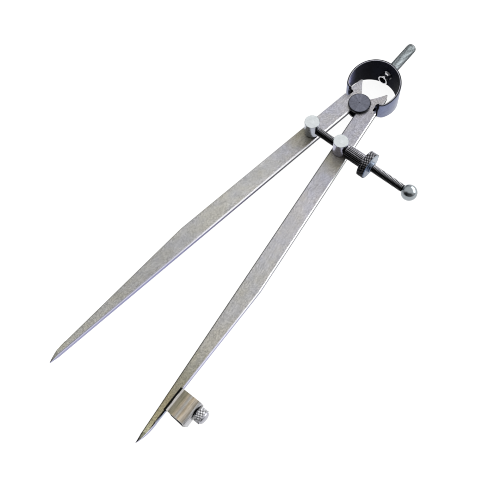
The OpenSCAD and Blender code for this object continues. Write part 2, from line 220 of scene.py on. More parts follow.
class Surface(Shader):
    """A Principled material in object coordinates."""

    def __init__(self, name):
        self.material = bpy.data.materials.new(name)
        self.material.use_nodes = True
        super().__init__(self.material.node_tree)
        self.bsdf = self.nodes["Principled BSDF"]
        self.coordinates = self.node("ShaderNodeTexCoord").outputs["Object"]

    def set(self, **values):
        for key, value in values.items():
            self.put(self.bsdf.inputs[key.replace("_", " ")], value)

    def place(self, angle=0, scale=(1, 1, 1), origin=(0, 0, 0)):
        """Coordinates in millimetres from origin, turned about Z, then scaled."""
        moved = self.vector("SUBTRACT", self.coordinates, tuple(c * MM for c in origin))
        turn = {"Vector": moved, "Rotation": (0, 0, -math.radians(angle)), "Scale": (1 / MM,) * 3}
        turned = self.node("ShaderNodeMapping", turn, vector_type="POINT").outputs[0]
        return self.vector("MULTIPLY", turned, scale)

    def noise(self, vector, scale=1.0, detail=3.0, rough=0.55):
        inputs = {"Vector": vector, "Scale": scale, "Detail": detail, "Roughness": rough}
        return self.node("ShaderNodeTexNoise", inputs).outputs["Fac"]

    def spread(self, noise, low, high):
        """Noise keeps near 0.5; this spreads it from low to high."""
        return self.remap(noise, 0.3, 0.7, low, high)

    def normal(self, axis):
        return self.parts(self.node("ShaderNodeNewGeometry").outputs["True Normal"])[axis]

    def facing(self):
        """How far the surface faces up or down, 0 to 1."""
        return self.math("ABSOLUTE", self.normal("Z"))

    def band(self, value, low, high, also=1.0):
        """1 where the value lies between low and high, times another mask."""
        above = self.math("GREATER_THAN", value, low)
        below = self.math("LESS_THAN", value, high)
        return self.math("MULTIPLY", self.math("MULTIPLY", above, below), also)

    def square_to(self, vector, axis):
        """The part of a vector that is square to an axis, as X and Y."""
        parts = self.parts(vector)
        first, second = (a for a in "XYZ" if a != axis)
        return self.node("ShaderNodeCombineXYZ", {"X": parts[first], "Y": parts[second]}).outputs[0]

    def radius(self, vector, axis):
        """Distance from an axis through the origin."""
        flat = {0: self.square_to(vector, axis)}
        return self.node("ShaderNodeVectorMath", flat, operation="LENGTH").outputs["Value"]

    def brush(self, angle):
        """Points the highlights along a straight grain at an angle from Y."""
        turn = math.radians(angle)
        grain = self.node("ShaderNodeCombineXYZ", {"X": -math.sin(turn), "Y": math.cos(turn)})
        self.put(self.bsdf.inputs["Tangent"], grain.outputs[0])

    def brush_round(self, axis):
        """Points the highlights round an axis."""
        ring = self.node("ShaderNodeTangent", direction_type="RADIAL", axis=axis)
        self.put(self.bsdf.inputs["Tangent"], ring.outputs[0])

    def bump(self, height, strength, distance):
        inputs = {"Height": height, "Strength": strength, "Distance": distance * MM}
        self.put(self.bsdf.inputs["Normal"], self.node("ShaderNodeBump", inputs).outputs["Normal"])


# ---------- leg steel ----------

# Colours by share of the leg, from the pivot to the point: the face, with a painted shadow just
# past the post, and the upper and lower band of the side that faces +X, a band of painted light over
# a band of painted shade. rim gives the painted shade line along the long edge, as a remap of that
# share, and split the height at which the bands meet.
LEFT_LOOK = {
    "face": [(0, (178, 178, 184)), (0.13, (178, 178, 183)), (0.158, (122, 120, 108)),
             (0.182, (150, 147, 136)), (0.225, (174, 174, 178)), (0.30, (186, 186, 184)),
             (0.5, (181, 181, 178)), (0.70, (164, 164, 162)), (0.94, (172, 171, 160)),
             (0.984, (170, 170, 160)), (0.99, (120, 120, 116)), (1, (80, 80, 78))],
    "upper": [(0, (250, 250, 252)), (0.5, (248, 248, 252)), (0.64, (206, 206, 220)),
              (1, (186, 186, 206))],
    "lower": [(0, (40, 40, 48)), (0.3, (48, 46, 60)), (0.45, (92, 88, 118)),
              (0.65, (130, 130, 170)), (1, (150, 150, 184))],
    "rim": (0.15, 0.75, 0.78, 0.5),
    "split": (3.5, 3.9),
}
RIGHT_LOOK = {
    "face": [(0, (176, 175, 181)), (0.13, (175, 175, 181)), (0.158, (144, 141, 130)),
             (0.185, (162, 159, 148)), (0.225, (178, 178, 183)), (0.30, (188, 187, 191)),
             (0.56, (182, 182, 181)), (0.72, (178, 176, 169)), (0.82, (153, 151, 135)),
             (0.885, (156, 147, 120)), (0.94, (172, 166, 136)), (0.98, (176, 178, 154)),
             (0.988, (110, 110, 102)), (1, (72, 72, 70))],
    "upper": [(0, (252, 252, 252)), (0.6, (252, 252, 252)), (0.72, (226, 226, 242)),
              (1, (206, 206, 226))],
    "lower": [(0, (56, 56, 64)), (0.3, (66, 66, 76)), (0.5, (110, 110, 126)),
              (0.68, (140, 140, 182)), (1, (140, 140, 176))],
    "rim": (0, 1, 0.17, 0.17),
    "split": (3.4, 3.8),
}
# near black, a painted shade for the crevice and the edge by the pencil clamp
PAINTED_SHADE = (0.01, 0.01, 0.01)
# where the marks lie in a leg's own frame, whose Y falls from 0 at the pivot to the point
NOTCH_ACROSS, NOTCH_ALONG = (7.3, 11), (-0.8, 4.3)
HORN_START = 3.6
# painted shade beside the clamp, along the outer edge below it, and in the gap on its side
BESIDE_CLAMP, SHADED_FOOT, CLAMP_GAP = (-181.6, -169.3), (-193, -181), (-192, -169.2)
GAP_FADE = (-192, -184)


class LegSteel(Surface):
    """Flat steel with a fine sheared grain, light tarnish towards the point, and painted light and shade
    along its edges and sides.
    """

    def __init__(self, name, side, look):
        super().__init__(name)
        self.side = side
        self.look = look
        self.angle = side * HALF_ANGLE
        self.at = self.parts(self.place(angle=self.angle))
        self.down = self.remap(self.at["Y"], 0, -LEG_LENGTH, 0, 1)
        self.across = self.math("MULTIPLY", self.at["X"], side)
        self.up = self.facing()
        self.right = self.step(self.normal("X"), -0.05, 0.05)
        self.rim = self.remap(self.down, *look["rim"])
        stain = self.step(self.texture((0.16, 0.12, 0.16)), 0.35, 0.65)
        warmth = self.mix(stain, (1.025, 1.0, 0.95), (0.985, 0.985, 1.04))
        self.tone = self.vector("MULTIPLY", self.along("face"), warmth)
        self.grain = self.texture((4.5, 0.2, 4.5), detail=4, rough=0.62)
        self.fleck = self.texture((2.5, 1.9, 2.5), detail=2, rough=0.7)

    def texture(self, scale, **settings):
        return self.noise(self.place(angle=self.angle, scale=scale), **settings)

    def along(self, part):
        return self.ramp(self.down, [(at, srgb(*colour)) for at, colour in self.look[part]])

    def outer_inset(self):
        """Distance in from the leg's outer edge."""
        taper = self.math("MULTIPLY", self.step(self.down, TAPER_START, TAPER_END), TAPER)
        return self.math("SUBTRACT", self.math("SUBTRACT", EDGE_OUT, taper), self.across)

    def inner_inset(self):
        """Distance in from the leg's inner edge."""
        inner = self.remap(self.down, 0, 1, EDGE_IN, EDGE_IN - EDGE_LEAN)
        return self.math("SUBTRACT", self.across, inner)

    def face(self):
        """The front, with a painted shade line along the edge that is on the -X side."""
        fine = self.spread(self.texture((9, 3, 9), detail=2), -0.07, 0.07)
        cloud = self.spread(self.texture((0.3, 0.06, 0.3), detail=2), 0.94, 1.06)
        shade = self.math("ADD", self.spread(self.grain, 0.86, 1.14), fine)
        shade = self.math("ADD", shade, self.spread(self.fleck, -0.46, 0.46))
        shade = self.math("MULTIPLY", shade, cloud)
        inset = self.inner_inset() if self.side > 0 else self.outer_inset()
        below_horn = self.math("GREATER_THAN", self.down, 0.03)
        line = self.math("MULTIPLY", self.remap(inset, 0.35, 0.65, 1, 0), below_horn)
        return self.mix(line, self.scaled(self.tone, shade), self.scaled(self.tone, self.rim))

    def edge(self):
        """The sides: a band of painted light over a band of painted shade on the +X side, and the plain
        tone on the other, with the painted shade line on its bevel.
        """
        upper = self.along("upper")
        flank = self.mix(self.step(self.at["Z"], *self.look["split"]), self.along("lower"), upper)
        flank = self.mix(self.right, self.scaled(self.tone, 0.8), flank)
        bevel = self.mix(self.right, self.scaled(self.tone, self.rim), upper)
        return self.mix(self.step(self.up, 0.25, 0.5), flank, bevel)

    def right_marks(self, face, edge):
        """Painted shade low on the horn's side, and painted shade in the gaps beside the pencil clamp."""
        x, y, z = self.at["X"], self.at["Y"], self.at["Z"]
        # painted shade low on the horn's side
        horn = self.math("GREATER_THAN", y, HORN_START)
        horn = self.math("MULTIPLY", horn, self.remap(z, 2.9, 3.3, 1, 0))
        edge = self.mix(horn, edge, (0.01, 0.01, 0.012))
        # painted shade on the face beside the clamp and along the edge below it
        beside = self.math("ADD", x, self.math("MULTIPLY", y, -TAPER_SLOPE))
        crevice = self.band(y, *BESIDE_CLAMP, self.step(beside, 19.1, 19.4))
        face = self.mix(crevice, face, PAINTED_SHADE)
        foot = self.band(y, *SHADED_FOOT, self.remap(self.outer_inset(), 0.45, 0.75, 1, 0))
        face = self.mix(foot, face, PAINTED_SHADE)
        gap = self.band(y, *CLAMP_GAP, self.right)
        gap = self.math("MULTIPLY", gap, self.step(y, *GAP_FADE))
        # in the gap on the side: a painted reflection low down and painted shade higher up
        in_gap = self.mix(self.step(z, 3.6, 4.4), srgb(150, 160, 190), (0.008, 0.008, 0.008))
        edge = self.mix(gap, edge, in_gap)
        matt = self.math("MAXIMUM", horn, crevice)
        matt = self.math("MAXIMUM", matt, self.math("MULTIPLY", gap, self.math("GREATER_THAN", z, 4)))
        return face, edge, crevice, matt

    def build(self):
        face = self.face()
        edge = self.edge()
        # painted shade in the notch where the spring's end sits
        notch = self.band(self.across, *NOTCH_ACROSS, self.band(self.at["Y"], *NOTCH_ALONG))
        edge = self.mix(notch, edge, (0.006, 0.006, 0.007))
        matt_face = 0.0
        matt_edge = notch
        if self.side > 0:
            face, edge, matt_face, matt = self.right_marks(face, edge)
            matt_edge = self.math("MAXIMUM", notch, matt)
        top = self.step(self.up, 0.85, 0.95)
        # dark places are matt, because a black metal still shines at a low angle
        matt_edge = self.math("MULTIPLY", matt_edge, self.math("SUBTRACT", 1.0, top))
        matt = self.math("MAXIMUM", self.math("MULTIPLY", matt_face, top), matt_edge)
        self.set(Base_Color=self.mix(top, edge, face), Metallic=self.math("SUBTRACT", 1.0, matt),
                 Specular_IOR_Level=0.0, Roughness=self.spread(self.grain, 0.3, 0.42), Anisotropic=0.6)
        self.brush(self.angle)
        self.bump(self.math("ADD", self.grain, self.math("MULTIPLY", self.fleck, 0.7)), 0.3, 0.02)
        return self.material


# ---------- other materials ----------

def turned(name, colour, rough, origin, axis="Z", ring=9.0, strength=0.25, variation=0.1, shine_round=0.0,
           side=None, lip=(0.6, 0.9), dark_below=None, radial=0.0, rim=None, fade=None):
    """Turned metal: fine rings about an axis through origin, with soft variation.

    side is the walls' colour, and lip the range of facing() over which it gives way to the ends'.
    rim is (radius, radius, colour) towards the outside, and fade (y, y, colour) a painted shade towards
    -Y.
    Below the height dark_below the metal is near black, a painted shadow. radial paints the sheen of a
    turned face as light and dark spokes.
    """
    metal = Surface(name)
    moved = metal.place(origin=origin)
    at = metal.parts(moved)
    radius = metal.radius(moved, axis)
    line = metal.node("ShaderNodeCombineXYZ", {"X": metal.math("MULTIPLY", radius, ring),
                                               "Y": metal.math("MULTIPLY", at[axis], ring)}).outputs[0]
    rings = metal.noise(line, detail=2)
    cloud = metal.noise(moved, scale=0.6)
    low, high = 1 - variation, 1 + variation
    shade = metal.math("MULTIPLY", metal.spread(rings, low, high), metal.spread(cloud, low, high))
    if radial:
        flat = {0: metal.square_to(moved, axis)}
        spoke = metal.node("ShaderNodeVectorMath", flat, operation="NORMALIZE").outputs[0]
        fan = metal.noise(spoke, scale=2.6, rough=0.6)
        shade = metal.math("MULTIPLY", shade, metal.spread(fan, 1 - radial, 1 + radial))
    tint = metal.scaled(colour, shade)
    if fade:
        start, end, far = fade
        tint = metal.mix(metal.remap(at["Y"], start, end, 1, 0), tint, metal.scaled(far, shade))
    if rim:
        start, end, outer = rim
        tint = metal.mix(metal.step(radius, start, end), tint, metal.scaled(outer, shade))
    if side:
        tint = metal.mix(metal.step(metal.facing(), *lip), metal.scaled(side, shade), tint)
    if dark_below is not None:
        tint = metal.mix(metal.step(at["Z"], dark_below, dark_below + 0.3), (0.012, 0.012, 0.012), tint)
    metal.set(Base_Color=tint, Metallic=1.0, Roughness=metal.spread(cloud, rough * 0.85, rough * 1.15),
              Anisotropic=shine_round)
    if shine_round:
        metal.brush_round(axis)
    metal.bump(rings, strength, 0.02)
    return metal.material


def knurled(name, crest, valley, rough, origin, axis, grooves, angle=0.0, dusk=None, metallic=1.0,
            under=None, dim=None):
    """Knurled or threaded metal: worn crests over dark grooves, told apart by their radius.

    grooves holds the radii between which the valley turns into the crest; the dark grooves are oxide
    on the black parts and painted shade on the bright ones. under is (y, y, factor) for a painted
    shade towards -Y, and dim (x, x, factor) darkens it towards -X. dusk holds weights for the
    normal's X and Z, and paints shade on a rod where their sum is large, along both its sides.
    """
    metal = Surface(name)
    moved = metal.place(angle=angle, origin=origin)
    at = metal.parts(moved)
    radius = metal.radius(moved, axis)
    wear = metal.noise(moved, scale=1.4, rough=0.6)
    worn = metal.scaled(crest, metal.spread(wear, 0.72, 1.2))
    tint = metal.mix(metal.step(radius, *grooves), valley, worn)
    if under:
        start, end, factor = under
        tint = metal.scaled(tint, metal.remap(at["Y"], start, end, factor, 1))
    if dim:
        start, end, factor = dim
        tint = metal.scaled(tint, metal.remap(at["X"], start, end, factor, 1))
    if dusk:
        lean_x = metal.math("MULTIPLY", metal.normal("X"), dusk[0])
        lean_z = metal.math("MULTIPLY", metal.normal("Z"), dusk[1])
        lean = metal.math("ABSOLUTE", metal.math("ADD", lean_x, lean_z))
        tint = metal.scaled(tint, metal.remap(lean, 0.6, 0.92, 1, 0.12))
    metal.set(Base_Color=tint, Metallic=metal.remap(radius, *grooves, 0, metallic), Specular_IOR_Level=0.0,
              Roughness=metal.spread(wear, rough * 0.8, rough * 1.25))
    metal.bump(metal.noise(moved, scale=6, detail=2), 0.12, 0.015)
    return metal.material


def plain(name, colour, rough, variation=0.08, metallic=1.0):
    """Finished metal with soft cloudy variation and a fine surface."""
    metal = Surface(name)
    at = metal.place()
    cloud = metal.noise(at, scale=0.48)
    fine = metal.noise(at, scale=6, rough=0.6)
    shade = metal.math("ADD", metal.spread(cloud, 1 - variation, 1 + variation),
                       metal.spread(fine, -variation / 2, variation / 2))
    metal.set(Base_Color=metal.scaled(colour, shade), Metallic=metallic,
              Roughness=metal.spread(fine, rough * 0.8, rough * 1.2))
    metal.bump(fine, 0.15, 0.015)
    return metal.material


def post_zinc(name, side, flank):
    """Bright zinc with a darker rim on top, walls in a darker painted reflection, and a painted shadow at
    the foot.
    """
    return turned(name, srgb(216, 221, 223), 0.26, (side * POST_X, POST_Y, 0), ring=4, variation=0.07,
                  side=flank, lip=(0.3, 0.6), dark_below=5.35, rim=(3.58, 3.7, srgb(140, 148, 152)))


def clamp_steel():
    """Sheet brushed along the leg, warm in the middle, with painted highlights where it folds and bands of
    painted reflection across it.
    """
    steel = Surface("clamp_steel")
    at = steel.place(angle=CLAMP_ANGLE, origin=CLAMP_ORIGIN)
    x = steel.parts(at)["X"]
    brushed = steel.place(angle=CLAMP_ANGLE, origin=CLAMP_ORIGIN, scale=(3.2, 0.16, 3.2))
    streak = steel.noise(brushed, detail=4, rough=0.62)
    cloud = steel.noise(at, scale=0.5, detail=2)
    across = steel.math("ADD", steel.step(x, 0, CLAMP_WIDTH), steel.spread(streak, -0.02, 0.02))
    # across the band: painted shade by the leg, a painted highlight on the fold there, bands of painted
    # reflection over a warm tone, and a painted highlight at the far fold
    stops = [(0.0, (8, 8, 8)), (0.05, (14, 14, 14)), (0.065, (236, 232, 228)), (0.12, (212, 208, 204)),
             (0.18, (118, 113, 100)), (0.25, (146, 141, 124)), (0.31, (130, 124, 106)),
             (0.36, (150, 142, 122)), (0.43, (166, 154, 136)), (0.52, (158, 156, 152)),
             (0.56, (182, 178, 170)), (0.6, (152, 142, 128)), (0.66, (186, 172, 150)),
             (0.74, (188, 178, 164)), (0.86, (146, 139, 128)), (0.90, (168, 166, 164)),
             (1.0, (186, 186, 190))]
    tone = steel.ramp(across, [(position, srgb(*colour)) for position, colour in stops])
    shade = steel.math("MULTIPLY", steel.spread(streak, 0.68, 1.3), steel.spread(cloud, 0.92, 1.08))
    # a shadow round the screw, on the wall that faces it
    from_screw = steel.radius(steel.place(angle=CLAMP_ANGLE, origin=SCREW_ORIGIN), "X")
    shadow = steel.math("MULTIPLY", steel.remap(from_screw, 3.7, 4.3, 1, 0),
                        steel.math("GREATER_THAN", x, 10.9))
    tint = steel.mix(shadow, steel.scaled(tone, shade), (0.006, 0.006, 0.006))
    steel.set(Base_Color=tint, Metallic=1.0, Roughness=steel.spread(streak, 0.26, 0.36), Anisotropic=0.5)
    steel.brush(CLAMP_ANGLE)
    steel.bump(streak, 0.3, 0.02)
    return steel.material


def spring_inside():
    """Blued steel in painted shade: near black over most of the bow, with a painted reflection above its
    hooked ends, paler on the left.
    """
    steel = Surface("spring_inside")
    at = steel.place()
    parts = steel.parts(at)
    cloud = steel.noise(at, scale=0.25)
    reach = steel.math("ADD", steel.step(parts["Y"], 2, 26), steel.spread(cloud, -0.04, 0.04))
    hook = [(0, (14, 14, 18)), (0.13, (18, 18, 24))]
    top = [(0.5, (38, 39, 48)), (0.8, (30, 31, 38)), (1, (50, 52, 66))]

    def half(pale):
        return steel.ramp(reach, [(position, srgb(*colour)) for position, colour in hook + pale + top])

    left = half([(0.19, (168, 168, 212)), (0.33, (96, 98, 126))])
    right = half([(0.19, (104, 104, 110)), (0.33, (66, 66, 72))])
    steel.set(Base_Color=steel.mix(steel.step(parts["X"], -2, 2), left, right), Metallic=0.0,
              Roughness=0.6, Specular_IOR_Level=0.03)
    steel.bump(cloud, 0.1, 0.015)
    return steel.material


STEEL_LEFT = LegSteel("leg_steel_left", -1, LEFT_LOOK).build()
STEEL_RIGHT = LegSteel("leg_steel_right", 1, RIGHT_LOOK).build()
SPRING_OUT = plain("spring_outside", srgb(114, 120, 146), 0.28, variation=0.12)
SPRING_IN = spring_inside()
# the bow's rims: painted shade, and a painted highlight line along each
SPRING_EDGE = plain("spring_edge", srgb(26, 28, 36), 0.4, variation=0.2, metallic=0.3)
SPRING_LINE = plain("spring_line", srgb(190, 190, 200), 0.3, variation=0.1)
# radial paints the sheen of the turned top as spokes
ROLLER = turned("roller_steel", srgb(110, 112, 124), 0.27, (0, 0, 0), ring=2.2, variation=0.09,
                strength=0.12, shine_round=0.8, side=srgb(20, 20, 22), radial=0.25,
                rim=(5.15, 5.5, srgb(44, 46, 54)))
POST_LEFT = post_zinc("zinc_left", -1, srgb(172, 176, 186))
POST_RIGHT = post_zinc("zinc_right", 1, srgb(172, 172, 192))
WASHER = plain("zinc_washer", srgb(206, 208, 212), 0.3)
OXIDE = plain("black_oxide", srgb(104, 103, 109), 0.22, variation=0.3)
# under paints shade on the lower side of the sleeve, the thread and the nut's knurl
SLEEVE = knurled("sleeve_oxide", srgb(186, 185, 192), srgb(8, 8, 9), 0.24, SPINDLE_AXIS, "X",
                 (3.25, 3.4), under=(-2.2, 0.6, 0.1))
THREAD = knurled("thread_oxide", srgb(164, 164, 168), srgb(8, 8, 9), 0.22, SPINDLE_AXIS, "X",
                 (1.68, 1.92), under=(-1.1, 0.1, 0.1), dim=(6, 12, 0.55))
# the face fades to a painted blue shade towards -Y
NUT = turned("nut_steel", srgb(152, 161, 172), 0.28, SPINDLE_AXIS, axis="X", ring=3, variation=0.07,
             fade=(-3.5, 1.5, srgb(84, 98, 122)))
NUT_RIM = knurled("nut_knurl", srgb(176, 176, 182), srgb(6, 6, 7), 0.24, SPINDLE_AXIS, "X",
                  (6.66, 6.79), under=(-6.2, -3.5, 0.12))
BALL = turned("ball_steel", srgb(152, 158, 162), 0.16, SPINDLE_AXIS, axis="X", ring=4, strength=0.08,
              variation=0.05)
# dusk paints shade along both sides of the handle
HANDLE = knurled("handle_steel", srgb(166, 174, 177), srgb(22, 23, 25), 0.5, (0, 0, MID_Z), "Y",
                 (2.48, 2.62), dusk=(-0.954, 0.3), metallic=0.7)
HANDLE_END = plain("handle_end", srgb(104, 108, 110), 0.45, variation=0.16)
NICKEL = plain("nickel_plate", srgb(218, 218, 222), 0.2, variation=0.05)
SCREW = plain("nickel_screw", srgb(176, 176, 184), 0.26, variation=0.1)
SCREW_RIM = knurled("screw_knurl", srgb(246, 246, 250), srgb(6, 6, 6), 0.42, SCREW_ORIGIN, "X",
                    (3.4, 3.53), angle=CLAMP_ANGLE, metallic=0.3)
CLAMP = clamp_steel()
# the loop's inside: painted shade
CLAMP_IN = plain("clamp_inside", srgb(24, 24, 24), 0.4, variation=0.2, metallic=0.0)
CLAMP_EDGE = plain("clamp_edge", srgb(138, 138, 140), 0.3)
RIVET = plain("rivet_steel", srgb(180, 178, 174), 0.3)

NODE_MATERIALS = {
    "left_leg": STEEL_LEFT, "right_leg": STEEL_RIGHT, "bow_spring": SPRING_OUT,
    "pivot_roller": ROLLER, "handle": HANDLE, "handle_nut": NICKEL,
    "left_post": POST_LEFT, "right_post": POST_RIGHT,
    "left_post_washer": WASHER, "right_post_washer": WASHER,
    "spindle": OXIDE, "spindle_ball": BALL, "spacer_sleeve": OXIDE, "adjusting_nut": NUT,
    "pencil_clamp": CLAMP, "clamp_rivet": RIVET, "clamp_screw": SCREW,
}
for node, material in NODE_MATERIALS.items():
    solid = NODES[node]
    if not solid.material_slots:
        solid.data.materials.append(material)
    for material_slot in solid.material_slots:
        material_slot.link = "OBJECT"
        material_slot.material = material


# ---------- mesh helpers ----------

def piece(name, shape, materials, body=None, replaces=None, sharp=35):
    """A mesh object from points in millimetres, faces and each face's material number."""
    points, faces, marks = shape
    mesh = bpy.data.meshes.new(name)
    mesh.from_pydata([tuple(c * MM for c in point) for point in points], [], faces)
    for material in materials:
        mesh.materials.append(material)
    mesh.polygons.foreach_set("material_index", marks)
    mesh.polygons.foreach_set("use_smooth", [True] * len(faces))
    edited = bmesh.new()
    edited.from_mesh(mesh)
    bmesh.ops.remove_doubles(edited, verts=edited.verts, dist=1e-7)
    bmesh.ops.recalc_face_normals(edited, faces=edited.faces)
    edited.to_mesh(mesh)
    edited.free()
    mesh.update()
    mesh.set_sharp_from_angle(angle=math.radians(sharp))
    new = bpy.data.objects.new(name, mesh)
    bpy.context.scene.collection.objects.link(new)
    if body:
        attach(new, body)
    if replaces:
        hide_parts(replaces)
    return new


def axis_place(origin, axis=(1, 0, 0), up=(0, 0, 1)):
    """Matrix whose X is the axis, for shapes turned about it."""
    x = Vector(axis).normalized()
    z = Vector(up)
    z = (z - z.dot(x) * x).normalized()
    place = Matrix((x, z.cross(x), z)).transposed().to_4x4()
    place.translation = Vector(origin)
    return place


def revolve(rings, count, place):
    """Turns rings (x, radius) about the X of place; each face's mark is the number of its ring.

    A radius may be a list of count values, and a radius of 0 closes the end.
    """
    points, faces, marks, rows = [], [], [], []
    for x, radius in rings:
        if radius == 0:
            rows.append([len(points)] * count)
            points.append(place @ Vector((x, 0, 0)))
            continue
        radii = radius if isinstance(radius, list) else [radius] * count
        rows.append(list(range(len(points), len(points) + count)))
        for i in range(count):
            angle = 2 * math.pi * i / count
            points.append(place @ Vector((x, radii[i] * math.cos(angle), radii[i] * math.sin(angle))))
    for ring, (row, following) in enumerate(zip(rows, rows[1:])):
        for i in range(count):
            j = (i + 1) % count
            corners = (row[i], row[j], following[j], following[i])
            faces.append(tuple(dict.fromkeys(corners)))
            marks.append(ring)
    return points, faces, marks


def painted(shape, paint=lambda ring: 0):
    """The shape with material numbers in place of its rings' numbers."""
    points, faces, marks = shape
    return points, faces, [paint(ring) for ring in marks]


def diamonds(band, count, place, first):
    """Flat-topped diamond knurls, with their points numbered from first.

    band is start, end, the radii of the grooves and the tops, the number of rows, and land: the
    tops' share of the pitch.
    """
    points, faces = [], []
    start, end, low, high, rows, land = band

    def add(i, j, radius):
        angle = 2 * math.pi * i / count
        x = start + (end - start) * j / rows
        points.append(place @ Vector((x, radius * math.cos(angle), radius * math.sin(angle))))
        return first + len(points) - 1

    grid = {(i, j): add(i, j, low) for i in range(count) for j in range(rows + 1)
            if (i + j) % 2 == 0 or j in (0, rows)}
    for j in range(rows + 1):
        for i in range(count):
            if (i + j) % 2 == 0:
                continue
            left, right = grid[(i - 1) % count, j], grid[(i + 1) % count, j]
            if j in (0, rows):
                # the first and last rows are half diamonds
                step = 1 if j == 0 else -1
                tip = grid[i, j + step]
                a, b, c = add(i - land, j, high), add(i + land, j, high), add(i, j + step * land, high)
                faces += [(a, b, c), (left, tip, c, a), (tip, right, b, c),
                          (left, grid[i, j], right, b, a)]
                continue
            foot = [left, grid[i, j - 1], right, grid[i, j + 1]]
            top = [add(i - land, j, high), add(i, j - land, high),
                   add(i + land, j, high), add(i, j + land, high)]
            faces.append(tuple(top))
            faces += [(foot[k], foot[(k + 1) % 4], top[(k + 1) % 4], top[k]) for k in range(4)]
    return points, faces


def with_knurls(before, band, after, count, place):
    """A turned shape (material 0) whose middle is a band of knurls (material 1)."""
    start, end, low = band[:3]
    front, front_faces, _ = revolve(before + [(start, low)], count, place)
    back, back_faces, _ = revolve([(end, low)] + after, count, place)
    points = front + back
    faces = front_faces + [tuple(i + len(front) for i in face) for face in back_faces]
    knurl_points, knurl_faces = diamonds(band, count, place, len(points))
    return points + knurl_points, faces + knurl_faces, [0] * len(faces) + [1] * len(knurl_faces)


# ---------- bow spring: two halves, left and right ------------------------

ARC_STEPS, BEND_STEPS, LIP_STEPS = 60, 14, 10
# sizes of the sheet's middle line: a large arc, a bend inwards, and a lip that ends in the notch
BOW_CENTRE_Y, BOW_RADIUS, BOW_SHEET = 12, 13.35, 1.1
BEND_RADIUS, STRIP_Y = 3.05, 3.95
LIP_RADIUS, LIP_X, LIP_END_Y = 0.95, 8.4686, 2.3
# the angle of the large arc at which the bend touches it
BOW_TURN = math.degrees(math.acos((STRIP_Y + BEND_RADIUS - BOW_CENTRE_Y) / (BOW_RADIUS - BEND_RADIUS)))
BEND_CENTRE = ((BOW_RADIUS - BEND_RADIUS) * math.sin(math.radians(BOW_TURN)), STRIP_Y + BEND_RADIUS)
LIP_CENTRE = (LIP_X + LIP_RADIUS, STRIP_Y - LIP_RADIUS)
# the strip widens evenly from 1 mm below the lip to the top; the last two are half widths
BOW_TOP_Y = BOW_CENTRE_Y + BOW_RADIUS + BOW_SHEET / 2
BOW_END_Y, BOW_END_HALF, BOW_TOP_HALF = LIP_END_Y - 1, 4.8, 8.75


def bow_path():
    """Middle line of the right half as (x, y, angle of its outward normal from Y)."""
    path = []

    def arc(centre, radius, start, end, steps, first=0, flip=0.0):
        for i in range(first, steps + 1):
            angle = math.radians(start + (end - start) * i / steps)
            path.append((centre[0] + radius * math.sin(angle), centre[1] + radius * math.cos(angle),
                         angle + flip))

    arc((0, BOW_CENTRE_Y), BOW_RADIUS, 0, BOW_TURN, ARC_STEPS)
    arc(BEND_CENTRE, BEND_RADIUS, BOW_TURN, 180, BEND_STEPS, first=1)
    arc(LIP_CENTRE, LIP_RADIUS, 0, -90, LIP_STEPS, flip=math.pi)
    path.append((LIP_X, LIP_END_Y, math.radians(90)))
    return path


def bow_half_width(y):
    return BOW_END_HALF + share(y, BOW_END_Y, BOW_TOP_Y) * (BOW_TOP_HALF - BOW_END_HALF)


def bow_half(name, side):
    """Strip with rounded edges: blued outside, near black inside in painted shade, and dark rims in
    painted shade with a painted highlight line along each.
    """
    outside, inside, rim, line = range(4)
    half = BOW_SHEET / 2
    # (offset along the normal, inset from the strip's edge), from the outside in, then mirrored
    corner = [(half, 0.45), (half - 0.06, 0.14), (half - 0.2, 0.02), (0.0, 0), (-0.12, 0),
              (0.2 - half, 0.03), (0.04 - half, 0.14), (-half, 0.4)]
    section = [(offset, 1, inset) for offset, inset in corner]
    section += [(offset, -1, inset) for offset, inset in reversed(corner)]
    across = [outside, rim, rim, rim, line, rim, inside]
    across += [inside] + across[::-1] + [outside]
    path = bow_path()
    count = len(section)
    points, faces, marks = [], [], []
    for x, y, angle in path:
        for offset, face, inset in section:
            at_y = y + math.cos(angle) * offset
            z = MID_Z + face * (bow_half_width(at_y) - inset)
            points.append((side * (x + math.sin(angle) * offset), at_y, z))
    for k in range(len(path) - 1):
        for i in range(count):
            j = (i + 1) % count
            face = [k * count + i, k * count + j, (k + 1) * count + j, (k + 1) * count + i]
            faces.append(face[::side])
            # the lip in the notch takes the inside's painted shade all round
            marks.append(across[i] if k < ARC_STEPS + BEND_STEPS else inside)
    last = (len(path) - 1) * count
    faces.append(list(range(count))[::-side])
    faces.append(list(range(last, last + count))[::side])
    marks += [outside, outside]
    return piece(name, (points, faces, marks), [SPRING_OUT, SPRING_IN, SPRING_EDGE, SPRING_LINE],
                 sharp=50)


for side, name, body in ((1, "bow_right", "right_leg"), (-1, "bow_left", "left_leg")):
    bow = bow_half(name, side)
    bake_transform(bow)
    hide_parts("bow_spring")


# ---------- spindle, ball, sleeve and adjusting nut ----------

